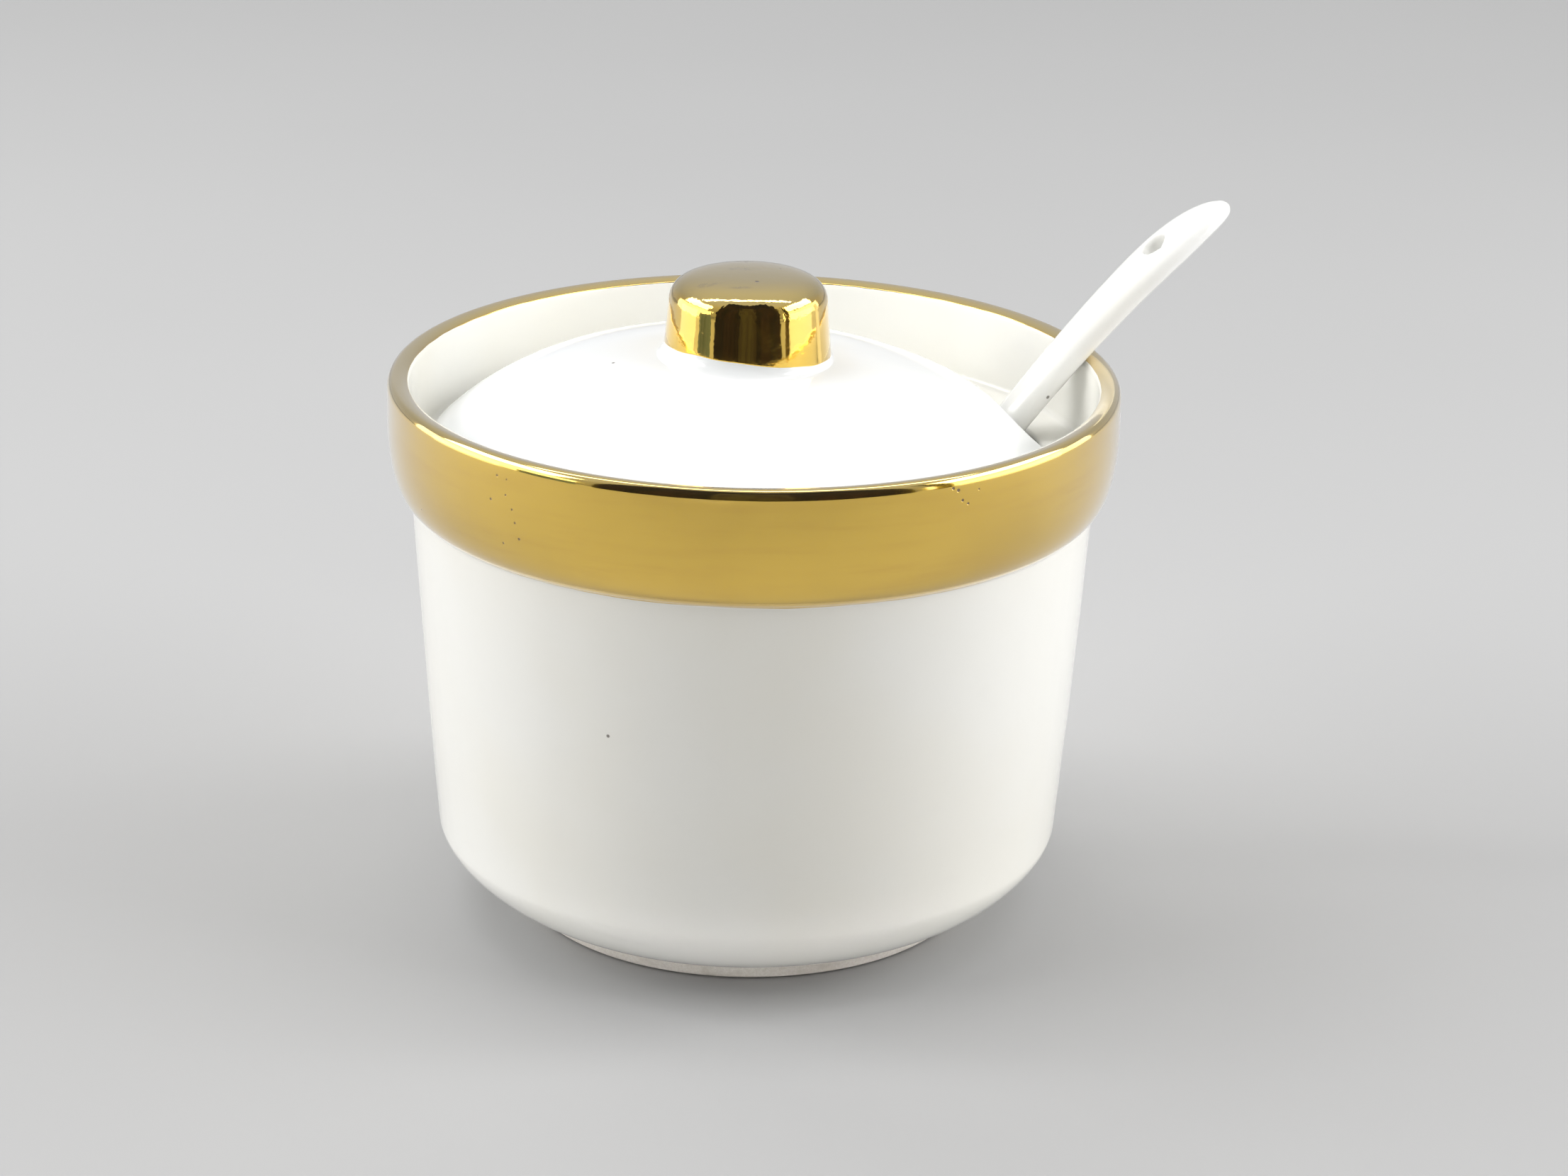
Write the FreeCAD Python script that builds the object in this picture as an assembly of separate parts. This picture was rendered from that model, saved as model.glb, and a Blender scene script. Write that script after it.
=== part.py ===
"""Lidded porcelain condiment pot with its spoon.

A white glazed pot with a stepped-out gold collar, a domed lid that sits on a ledge inside
the collar, a gold knob on the lid, and a ceramic spoon whose handle leaves through a notch
in the lid and leans on the lip.

Units are millimetres.  +Z is up.  The origin is the centre of the foot ring, on the plane
that the pot stands on.  The spoon lies in the upright plane at spoon_azimuth from +X.
"""
import FreeCAD, Part
import os
from math import cos, sin, radians, sqrt, pi

V = FreeCAD.Vector

# ---------------------------------------------------------------- driving dimensions
lip_radius = 52.0              # outer radius of the lip
pot_height = 79.6              # foot to top of lip
foot_radius = 32.6             # outer radius of the foot ring
foot_width = 3.4               # width of the ring that touches the table
foot_height = 1.7              # underside of the body above the table
gold_thickness = 0.2           # stand-in thickness of the fired gold layers
fit_gap = 0.3                  # gap between pieces that only lie against each other

# pot, outside
corner_start_radius = 29.8     # where the rounded bottom corner leaves the flat underside
corner_end_radius = 45.6       # where it runs into the wall
corner_end_height = 12.3
wall_mid_radius = 47.48        # pole of the slightly bulging wall
collar_foot_radius = 48.9      # lower edge of the gold collar
collar_foot_height = 62.3
collar_radius = 52.2
collar_round_height = 74.4     # above this the collar is almost straight
collar_pole_height = 63.8

# pot, inside
floor_height = 6.0
floor_radius = 29.0
bore_low_radius = 41.4
bore_low_height = 17.0
bore_high_radius = 43.6
bore_high_height = 57.0
seat_bore_radius = 42.0        # bore of the ledge that carries the lid
seat_bore_height = 62.5
seat_height = 67.6
seat_outer_radius = 47.9

# lip
lip_round = 0.7                # outer edge of the lip
lip_top_radius = 51.2          # where the top turns inwards
lip_inner_radius = 49.75
lip_inner_height = 77.4
lip_gold_end = 0.72            # the gold stops this far along the inner curve

# lid
lid_shift = -1.1               # the loose lid lies this far off the pot's axis, along X
lid_radius = 43.9
lid_edge_height = 70.0         # where the dome meets the lid's edge
lid_rise = 12.7                # crown above that edge
lid_edge_round = 0.8
lid_seat_gap = 0.05
under_crown_height = 78.6      # hollow underside, at the middle
under_edge_height = 69.9
flange_inner_radius = 37.6
flange_radius = seat_bore_radius - fit_gap + lid_shift
flange_bottom = 63.8
flange_round = 1.0
notch_depth_radius = 34.8      # distance from the pot's axis to the notch's inner end
notch_half_width = 15.0
notch_corner = 6.0

# knob
knob_base_height = 82.9
knob_base_radius = 11.92
knob_shoulder_height = 90.3
knob_shoulder_radius = 11.2
knob_top_height = 94.9
knob_fullness = 0.70           # 0.55 is a quarter ellipse, more is squarer
knob_flare_radius = 12.9       # foot of the small fillet on the dome
knob_gold_front = 84.2         # gold's lower edge, at the front of the knob
knob_gold_back = 83.4
knob_gold_left = 85.1
knob_gold_right = 82.54

# spoon
spoon_azimuth = 15.0
shaft_elevation = 52.0         # slope of the straight lower shaft, in degrees
shaft_top = V(35.22, 0, 64.70)      # end of the straight part, as (out, 0, up)
handle_pole_1 = V(49.06, 0, 82.40)
handle_pole_2 = V(64.03, 0, 98.41)
handle_tip = V(71.14, 0, 100.45)
handle_lift = 0.35             # keeps the handle just clear of the lip
shaft_length = 72.4            # from shaft_top to the tip of the bowl
handle_half_width = 4.7
handle_half_thickness = 2.35
handle_narrowest = 0.667       # share of the width left at the straight part
neck_half_width = 3.9
tip_round_length = 12.9
hole_radius = 1.95
hole_from_tip = 12.2
bowl_half_length = 20.5
bowl_half_width = 13.5
bowl_depth = 9.5
bowl_wall = 2.5
bowl_rim_lift = 0.6            # rim plane above the shaft's centre line


# ---------------------------------------------------------------- profile helpers
def at(radius, height):
    """A point of a turned profile."""
    return V(radius, 0, height)


def line(start, end):
    return Part.LineSegment(start, end)


def bezier(*poles):
    curve = Part.BezierCurve()
    curve.setPoles(list(poles))
    return curve


def part_of_bezier(curve, start, end):
    piece = curve.copy()
    piece.segment(start, end)
    return piece


def turned(curves):
    """Turn a closed chain of curves in the XZ plane about Z."""
    wire = Part.Wire(Part.__sortEdges__([curve.toShape() for curve in curves]))
    solid = Part.Face(wire).revolve(V(0, 0, 0), V(0, 0, 1), 360)
    return outward(solid)


def outward(shape):
    solid = shape.Solids[0]
    if solid.Volume < 0:
        solid.reverse()
    return solid


def corner_arc(start, corner, end):
    """A rounded corner from start to end, with a conic's fullness near a true arc."""
    fullness = 0.5523
    return bezier(start, start + (corner - start) * fullness, end + (corner - end) * fullness, end)


# ---------------------------------------------------------------- pot and its gold collar
def collar_curves(inset):
    """Outside of the collar and its lip down to the gold's inner end, moved inwards by inset."""
    foot = at(collar_foot_radius - inset, collar_foot_height)
    pole = at(collar_radius - inset, collar_pole_height)
    belly = at(collar_radius - inset, collar_round_height)
    edge = at(lip_radius - inset, pot_height - lip_round)
    crest = at(lip_radius - lip_round, pot_height - inset)
    return [
        bezier(foot, pole, belly),
        line(belly, edge),
        corner_arc(edge, at(lip_radius - inset, pot_height - inset), crest),
        line(crest, at(lip_top_radius, pot_height - inset)),
        part_of_bezier(lip_inside(inset), 0, lip_gold_end),
    ]


def lip_inside(inset):
    """Curve from the top of the lip to the inner wall."""
    return bezier(
        at(lip_top_radius, pot_height - inset),
        at(lip_inner_radius + inset, pot_height - inset),
        at(lip_inner_radius + inset, lip_inner_height),
    )


def make_pot_body():
    core = collar_curves(gold_thickness)
    core_foot = at(collar_foot_radius - gold_thickness, collar_foot_height)
    core_end = lip_inside(gold_thickness).value(lip_gold_end)
    lip_end = lip_inside(0).value(lip_gold_end)
    corner_start = at(corner_start_radius, foot_height)
    corner_end = at(corner_end_radius, corner_end_height)
    collar_foot = at(collar_foot_radius, collar_foot_height)
    outside = [
        line(at(0, foot_height), corner_start),
        bezier(corner_start, at(37.7, foot_height), at(corner_end_radius - 0.25, 8.9), corner_end),
        bezier(corner_end, at(wall_mid_radius, 37.3), collar_foot),
        line(collar_foot, core_foot),
    ]
    inner_top = at(lip_inner_radius, lip_inner_height)
    seat_wall = at(seat_outer_radius + 0.7, seat_height + 0.9)
    seat_out = at(seat_outer_radius - 0.2, seat_height)
    seat_in = at(seat_bore_radius + 0.6, seat_height)
    seat_drop = at(seat_bore_radius, seat_height - 0.6)
    seat_low = at(seat_bore_radius, seat_bore_height)
    bore_high = at(bore_high_radius, bore_high_height)
    bore_low = at(bore_low_radius, bore_low_height)
    floor_edge = at(floor_radius, floor_height)
    inside = [
        line(core_end, lip_end),
        part_of_bezier(lip_inside(0), lip_gold_end, 1),
        line(inner_top, seat_wall),
        corner_arc(seat_wall, at(seat_outer_radius + 0.6, seat_height), seat_out),
        line(seat_out, seat_in),
        corner_arc(seat_in, at(seat_bore_radius, seat_height), seat_drop),
        line(seat_drop, seat_low),
        line(seat_low, bore_high),
        line(bore_high, bore_low),
        corner_arc(bore_low, at(bore_low_radius - 0.6, floor_height), floor_edge),
        line(floor_edge, at(0, floor_height)),
        line(at(0, floor_height), at(0, foot_height)),
    ]
    body = turned(outside + core + inside)
    return outward(body.fuse(make_foot_ring()).removeSplitter())


def make_foot_ring():
    """The ring reaches up into the body, so that the two fuse."""
    inner = foot_radius - foot_width
    top = foot_height + 1.6
    ring = [
        line(at(inner - 0.5, foot_height), at(inner + 0.4, 0)),
        line(at(inner + 0.4, 0), at(foot_radius, 0)),
        line(at(foot_radius, 0), at(foot_radius, foot_height + 1.0)),
        line(at(foot_radius, foot_height + 1.0), at(inner, top)),
        line(at(inner, top), at(inner - 0.5, foot_height)),
    ]
    return turned(ring)


def make_rim_gold_band():
    outer = collar_curves(0)
    inner = collar_curves(gold_thickness)
    foot_step = line(
        at(collar_foot_radius, collar_foot_height),
        at(collar_foot_radius - gold_thickness, collar_foot_height),
    )
    end_step = line(lip_inside(0).value(lip_gold_end), lip_inside(gold_thickness).value(lip_gold_end))
    return turned(outer + [end_step] + inner + [foot_step])


# ---------------------------------------------------------------- lid
def dome_drop(radius):
    """How far the dome lies below its crown: it falls with the cube of the radius."""
    return lid_rise * (radius / lid_radius) ** 3


def cubic_fall(radius, crown, drop):
    """A cap that falls by drop at radius, with the cube of the distance from the axis."""
    return bezier(at(0, crown), at(radius / 3, crown), at(radius * 2 / 3, crown), at(radius, crown - drop))


crown_height = lid_edge_height + lid_rise


def make_lid_dome():
    underside = seat_height + lid_seat_gap
    edge_top = at(lid_radius, lid_edge_height)
    edge_low = at(lid_radius, underside + lid_edge_round)
    seat_face = at(lid_radius - lid_edge_round, underside)
    flange_top = at(flange_radius, underside)
    flange_side = at(flange_radius, flange_bottom + flange_round)
    flange_out = at(flange_radius - flange_round, flange_bottom)
    flange_in = at(flange_inner_radius + flange_round, flange_bottom)
    flange_back = at(flange_inner_radius, flange_bottom + flange_round)
    under_edge = at(flange_inner_radius, under_edge_height)
    profile = [
        cubic_fall(lid_radius, crown_height, lid_rise),
        line(edge_top, edge_low),
        corner_arc(edge_low, at(lid_radius, underside), seat_face),
        line(seat_face, flange_top),
        line(flange_top, flange_side),
        corner_arc(flange_side, at(flange_radius, flange_bottom), flange_out),
        line(flange_out, flange_in),
        corner_arc(flange_in, at(flange_inner_radius, flange_bottom), flange_back),
        line(flange_back, under_edge),
        cubic_fall(flange_inner_radius, under_crown_height, under_crown_height - under_edge_height),
        line(at(0, under_crown_height), at(0, crown_height)),
    ]
    dome = turned(profile)
    dome.translate(V(lid_shift, 0, 0))
    return outward(dome.cut(make_notch_cutter()))


def make_notch_cutter():
    """An upright prism, U-shaped in plan, open towards the lid's edge."""
    reach = lid_radius + 12
    depth = notch_depth_radius
    half = notch_half_width
    flare = 3.0                                  # the notch is wider at the lid's edge
    inner_half = half - flare - notch_corner * 0.5
    corner = V(depth + 0.4, half - flare, 0)
    low = flange_bottom - 5
    plan = []
    for side in (1, -1):
        inner = V(depth, side * inner_half, 0)
        shoulder = V(depth + notch_corner, side * (half - flare + 0.8), 0)
        plan.append(bezier(inner, V(corner.x, side * corner.y, 0), shoulder))
        plan.append(line(shoulder, V(reach, side * (half + 2.2), 0)))
    plan.append(line(V(depth, inner_half, 0), V(depth, -inner_half, 0)))
    plan.append(line(V(reach, half + 2.2, 0), V(reach, -half - 2.2, 0)))
    wire = Part.Wire(Part.__sortEdges__([curve.toShape() for curve in plan]))
    cutter = Part.Face(wire).extrude(V(0, 0, crown_height - low + 10))
    cutter.translate(V(0, 0, low))
    cutter.rotate(V(0, 0, 0), V(0, 0, 1), spoon_azimuth)
    return outward(cutter)


# ---------------------------------------------------------------- knob and its gold coat
def make_knob(inset):
    """The whole knob, standing on the dome.  inset shrinks its side and top."""
    flare_foot = at(knob_flare_radius, crown_height - dome_drop(knob_flare_radius))
    base = at(knob_base_radius - inset, knob_base_height)
    shoulder_radius = knob_shoulder_radius - inset
    shoulder = at(shoulder_radius, knob_shoulder_height)
    top_height = knob_top_height - inset
    rise = top_height - knob_shoulder_height
    side = [bezier(flare_foot, at(knob_base_radius - inset + 0.1, knob_base_height - 0.45), base)]
    profile = side + [
        line(base, shoulder),
        bezier(
            shoulder,
            at(shoulder_radius, knob_shoulder_height + rise * knob_fullness),
            at(shoulder_radius * knob_fullness, top_height),
            at(0, top_height),
        ),
        line(at(0, top_height), at(0, crown_height)),
        bezier(
            at(0, crown_height),
            at(knob_flare_radius / 3, crown_height),
            at(knob_flare_radius * 2 / 3, crown_height),
            flare_foot,
        ),
    ]
    return turned(profile)


def make_gold_edge_cutter():
    """Everything above the slanting lower edge of the knob's gold."""
    slope_x = (knob_gold_right - knob_gold_left) / (2 * knob_base_radius)
    slope_y = (knob_gold_back - knob_gold_front) / (2 * knob_base_radius)
    middle = (knob_gold_right + knob_gold_left) / 2
    reach = 20.0
    corners = [(-reach, -reach), (reach, -reach), (reach, reach), (-reach, reach)]
    plan = [V(x, y, middle + slope_x * x + slope_y * y) for x, y in corners]
    face = Part.Face(Part.makePolygon(plan + [plan[0]]))
    return outward(face.extrude(V(0, 0, knob_top_height)))


def make_knob_pieces():
    """Returns the porcelain knob and the gold coat over it."""
    whole = make_knob(0)
    inner = make_knob(gold_thickness)
    coat = outward(whole.cut(inner).common(make_gold_edge_cutter()))
    core = outward(whole.cut(coat))
    for piece in (core, coat):
        piece.translate(V(lid_shift, 0, 0))
    return core, coat


# ---------------------------------------------------------------- spoon
# The spoon is drawn in the XZ plane, with Y across it, and turned to its azimuth at the end.
shaft_direction = V(cos(radians(shaft_elevation)), 0, sin(radians(shaft_elevation)))
shaft_normal = V(-shaft_direction.z, 0, shaft_direction.x)


def handle_width_at(distance_from_tip, handle_length):
    """Half the width of the handle."""
    widest_from_tip = 0.3 * handle_length
    share = (handle_length - distance_from_tip) / (handle_length - widest_from_tip)
    share = min(1.0, max(0.0, share))
    width = handle_half_width * (handle_narrowest + (1 - handle_narrowest) * share ** 1.4)
    return width * tip_taper(distance_from_tip)


def tip_taper(distance_from_tip):
    """1 along the handle, falling along a quarter ellipse to 0 at the very tip."""
    if distance_from_tip >= tip_round_length:
        return 1.0
    return sqrt(max(0.0, 1 - (1 - distance_from_tip / tip_round_length) ** 2))


def handle_section(centre, normal, half_width, half_thickness):
    points = []
    count = 16
    for index in range(count):
        turn = 2 * pi * index / count
        points.append(centre + V(0, 1, 0) * (half_width * cos(turn)) + normal * (half_thickness * sin(turn)))
    curve = Part.BSplineCurve()
    curve.interpolate(Points=points, PeriodicFlag=True)
    return Part.Wire(curve.toShape())


def handle_sections():
    spine = bezier(shaft_top, handle_pole_1, handle_pole_2, handle_tip)
    length = spine.length()
    sections = []
    neck = bowl_centre() + shaft_direction * (bowl_half_length - 7)
    for share in (0.0, 0.35, 0.7):
        centre = neck + (shaft_top - neck) * share
        half_width = neck_half_width + (handle_half_width * handle_narrowest - neck_half_width) * share
        sections.append(handle_section(centre, shaft_normal, half_width, handle_half_thickness))
    steps = 16
    smallest = 0.12
    for index in range(steps + 1):
        distance_from_tip = smallest + (length - smallest) * (1 - index / steps) ** 1.7
        parameter = spine.parameterAtDistance(length - distance_from_tip, 0)
        tangent = spine.tangent(parameter)[0]
        if tangent.z < 0:
            tangent = tangent * -1
        normal = V(-tangent.z, 0, tangent.x)
        half_width = handle_width_at(distance_from_tip, length)
        half_thickness = handle_half_thickness * tip_taper(distance_from_tip) ** 0.7
        sections.append(handle_section(spine.value(parameter), normal, half_width, half_thickness))
    return sections


def bowl_centre():
    tip = shaft_top - shaft_direction * shaft_length
    return tip + shaft_direction * bowl_half_length + shaft_normal * bowl_rim_lift


def ellipsoid(half_length, half_width, depth):
    """An ellipsoid about the bowl's centre, long axis along the shaft."""
    ball = Part.makeSphere(1.0)
    stretch = FreeCAD.Matrix()
    stretch.scale(V(half_length, half_width, depth))
    shape = ball.transformGeometry(stretch)
    tilt = FreeCAD.Placement(bowl_centre(), FreeCAD.Rotation(V(0, 1, 0), -shaft_elevation))
    return shape.transformGeometry(tilt.toMatrix())


def make_spoon():
    handle = outward(Part.makeLoft(handle_sections(), True, False))
    bowl = outward(ellipsoid(bowl_half_length, bowl_half_width, bowl_depth))
    hollow = outward(ellipsoid(bowl_half_length - bowl_wall, bowl_half_width - bowl_wall, bowl_depth - bowl_wall))
    size = 4 * bowl_half_length
    above_rim = Part.makeBox(size, size, size, V(-size / 2, -size / 2, 0))
    above_rim.Placement = FreeCAD.Placement(
        bowl_centre(), FreeCAD.Rotation(V(0, 1, 0), -shaft_elevation)
    ).multiply(above_rim.Placement)
    spoon = bowl.cut(above_rim).fuse(handle).cut(hollow)
    spine = bezier(shaft_top, handle_pole_1, handle_pole_2, handle_tip)
    parameter = spine.parameterAtDistance(spine.length() - hole_from_tip, 0)
    tangent = spine.tangent(parameter)[0]
    normal = V(-tangent.z, 0, tangent.x)
    hole = Part.makeCylinder(hole_radius, 16, spine.value(parameter) - normal * 8, normal)
    spoon = outward(spoon.cut(hole).removeSplitter())
    spoon.translate(shaft_normal * handle_lift)
    spoon.rotate(V(0, 0, 0), V(0, 0, 1), spoon_azimuth)
    return spoon


# ---------------------------------------------------------------- write the pieces
def main():
    os.makedirs("parts", exist_ok=True)
    knob, knob_coat = make_knob_pieces()
    pieces = {
        "pot_body": make_pot_body(),
        "rim_gold_band": make_rim_gold_band(),
        "lid_dome": make_lid_dome(),
        "lid_knob": knob,
        "knob_gold_coat": knob_coat,
        "spoon": make_spoon(),
    }
    for name, shape in pieces.items():
        shape.exportStep("parts/" + name + ".step")
        print(name, "valid", shape.isValid(), "closed", shape.isClosed(), "volume", round(shape.Volume, 1))


main()
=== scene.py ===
"""Looks of the lidded porcelain condiment pot with its spoon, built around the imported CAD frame.

Lengths are in millimetres until a mesh is made, and metres after that.  +Z is up, and the origin
is the centre of the foot ring.  Turned pieces are drawn as (radius, height) profiles.
"""

from math import atan2, ceil, cos, exp, log1p, pi, radians, sin, sqrt, tau

import bmesh
import bpy
from mathutils import Matrix, Vector, noise


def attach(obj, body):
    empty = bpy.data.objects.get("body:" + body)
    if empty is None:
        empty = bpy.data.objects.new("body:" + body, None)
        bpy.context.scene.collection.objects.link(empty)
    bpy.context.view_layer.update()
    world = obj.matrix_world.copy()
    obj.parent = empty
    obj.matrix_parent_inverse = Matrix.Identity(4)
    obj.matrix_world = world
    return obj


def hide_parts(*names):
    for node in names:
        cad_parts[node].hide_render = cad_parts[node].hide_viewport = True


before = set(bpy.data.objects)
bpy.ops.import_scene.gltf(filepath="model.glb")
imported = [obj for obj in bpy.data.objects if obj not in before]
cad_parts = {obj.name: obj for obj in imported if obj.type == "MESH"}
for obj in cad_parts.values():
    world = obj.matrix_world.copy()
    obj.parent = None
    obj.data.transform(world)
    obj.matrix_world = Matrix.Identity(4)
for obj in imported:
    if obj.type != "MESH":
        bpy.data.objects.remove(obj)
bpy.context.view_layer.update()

MM = 0.001


# -------------------------------- curves and profiles
def bezier(poles, count=16):
    """Points along a Bezier curve, both ends included."""
    points = []
    for index in range(count + 1):
        share = index / count
        level = [Vector(pole) for pole in poles]
        while len(level) > 1:
            level = [a.lerp(b, share) for a, b in zip(level, level[1:])]
        points.append(level[0])
    return points


def rounded(start, tip, end, count=7):
    """A rounded corner from start to end that would meet at tip."""
    fullness = 0.5523
    start, tip, end = Vector(start), Vector(tip), Vector(end)
    return bezier((start, start.lerp(tip, fullness), end.lerp(tip, fullness), end), count)


def chain(*runs, longest=2.0):
    """One profile from runs of points that follow each other; long steps are divided."""
    same_place = 1e-4
    points = []
    for run in runs:
        for point in run:
            point = Vector(point)
            if not points:
                points.append(point)
                continue
            start = points[-1]
            gap = (point - start).length
            if gap < same_place:
                continue
            pieces = ceil(gap / longest)
            for step in range(1, pieces + 1):
                points.append(start.lerp(point, step / pieces))
    return points


class Profile:
    """A profile that can be read by its length, with normals to the outside."""

    def __init__(self, points):
        self.points = points
        self.marks = [0.0]
        for a, b in zip(points, points[1:]):
            self.marks.append(self.marks[-1] + (b - a).length)
        self.length = self.marks[-1]
        self.normals = []
        for index in range(len(points)):
            before = points[max(0, index - 1)]
            after = points[min(len(points) - 1, index + 1)]
            along = (after - before).normalized()
            self.normals.append(Vector((along.y, -along.x)))

    def at(self, mark, proud=0.0):
        """The point at that length along, moved out by proud."""
        mark = min(max(mark, 0.0), self.length)
        low, high = 0, len(self.marks) - 1
        while high - low > 1:
            middle = (low + high) // 2
            if self.marks[middle] <= mark:
                low = middle
            else:
                high = middle
        share = (mark - self.marks[low]) / max(1e-9, self.marks[high] - self.marks[low])
        point = self.points[low].lerp(self.points[high], share)
        normal = self.normals[low].lerp(self.normals[high], share)
        return point + normal * proud

    def mark_of(self, test):
        """Length at the first point for which test(point) is true."""
        for mark, point in zip(self.marks, self.points):
            if test(point):
                return mark
        return self.length


# -------------------------------- meshes
def new_object(name, points, faces, material):
    """A smooth-shaded object from points in millimetres, its faces turned to the outside."""
    mesh = bpy.data.meshes.new(name)
    mesh.from_pydata([Vector(point) * MM for point in points], [], faces)
    mesh.validate()
    shell = bmesh.new()
    shell.from_mesh(mesh)
    bmesh.ops.recalc_face_normals(shell, faces=shell.faces)
    shell.to_mesh(mesh)
    shell.free()
    mesh.shade_smooth()
    mesh.update()
    made = bpy.data.objects.new(name, mesh)
    bpy.context.scene.collection.objects.link(made)
    made.data.materials.append(material)
    return made


def skin(rings, first_cap=None, last_cap=None, looped=False):
    """Points and faces over rings of equally many points; caps are single points."""
    count = len(rings[0])
    points = [point for ring in rings for point in ring]
    faces = []

    def band(low, high):
        for index in range(count):
            after = (index + 1) % count
            faces.append((low + index, low + after, high + after, high + index))

    for step in range(len(rings) - 1):
        band(step * count, (step + 1) * count)
    if looped:
        band((len(rings) - 1) * count, 0)
    for cap, base in ((first_cap, 0), (last_cap, (len(rings) - 1) * count)):
        if cap is not None:
            tip = len(points)
            points.append(cap)
            for index in range(count):
                faces.append((base + index, base + (index + 1) % count, tip))
    return points, faces


def wander(angle, swing, level):
    """Smooth noise round a circle; a larger swing wavers faster, and each level is another line."""
    return noise.noise(Vector((cos(angle) * swing, sin(angle) * swing, level)))


def handmade(angle, height):
    """How far a turned piece is out of round there: oval, three lobed, and slowly wandering."""
    oval = 0.10 * sin(2 * angle + 0.7)
    lobes = 0.05 * sin(3 * angle + 2.1)
    return oval + lobes + 0.06 * wander(angle, 1.3, height * 0.04)


def around(radius, height, angle, centre, uneven=1.0):
    """A point of a turned piece whose axis is at x = centre; it runs truer close to the axis."""
    fully_uneven_radius = 20.0
    near_axis = min(1.0, radius / fully_uneven_radius)
    true_radius = radius + uneven * handmade(angle, height) * near_axis
    return Vector((centre + true_radius * cos(angle), true_radius * sin(angle), height))


def turned(name, profile, material, centre=0.0, segments=360, uneven=1.0):
    """A closed turned piece whose profile starts and ends on the axis."""
    rings = []
    for point in profile[1:-1]:
        ring = [
            around(point.x, point.y, tau * index / segments, centre, uneven)
            for index in range(segments)
        ]
        rings.append(ring)
    first = Vector((centre, 0, profile[0].y))
    last = Vector((centre, 0, profile[-1].y))
    return new_object(name, *skin(rings, first, last), material)


def coat(name, profile, start_at, end_at, material, centre=0.0, segments=480, uneven=1.0):
    """A thin fired layer over part of a profile, from start_at(angle) to end_at(angle).

    end_at is None where the layer closes over the axis.  Its edges thin out into the piece under it.
    """
    proud, buried = 0.022, -0.09
    edge = 0.12
    edge_steps = (0.0, edge * 0.5, edge, edge * 1.5)
    thinned = (-0.008, proud * 0.7)
    start_mark = start_at(0.0)
    end_mark = profile.length if end_at is None else end_at(0.0)
    inside = [mark for mark in profile.marks if start_mark + 2 * edge < mark < end_mark - 2 * edge]
    marks = [start_mark + step for step in edge_steps] + inside
    if end_at is not None:
        marks += [end_mark - step for step in reversed(edge_steps)]
    else:
        marks = [mark for mark in marks if mark < profile.length - 1e-3]
    shares = [(mark - start_mark) / (end_mark - start_mark) for mark in marks]
    heights = [proud] * len(marks)
    heights[:2] = thinned
    if end_at is not None:
        heights[-2:] = reversed(thinned)
    outer, inner = [], []
    for share, height in zip(shares, heights):
        outer_ring, inner_ring = [], []
        for index in range(segments):
            angle = tau * index / segments
            start = start_at(angle)
            end = profile.length if end_at is None else end_at(angle)
            mark = start + (end - start) * share
            for ring, lift in ((outer_ring, height), (inner_ring, buried)):
                point = profile.at(mark, lift)
                ring.append(around(point.x, point.y, angle, centre, uneven))
        outer.append(outer_ring)
        inner.append(inner_ring)
    rings = inner[::-1] + outer
    if end_at is None:
        top = profile.points[-1].y
        caps = (Vector((centre, 0, top + buried)), Vector((centre, 0, top + proud)))
        return new_object(name, *skin(rings, *caps), material)
    return new_object(name, *skin(rings, looped=True), material)


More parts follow.
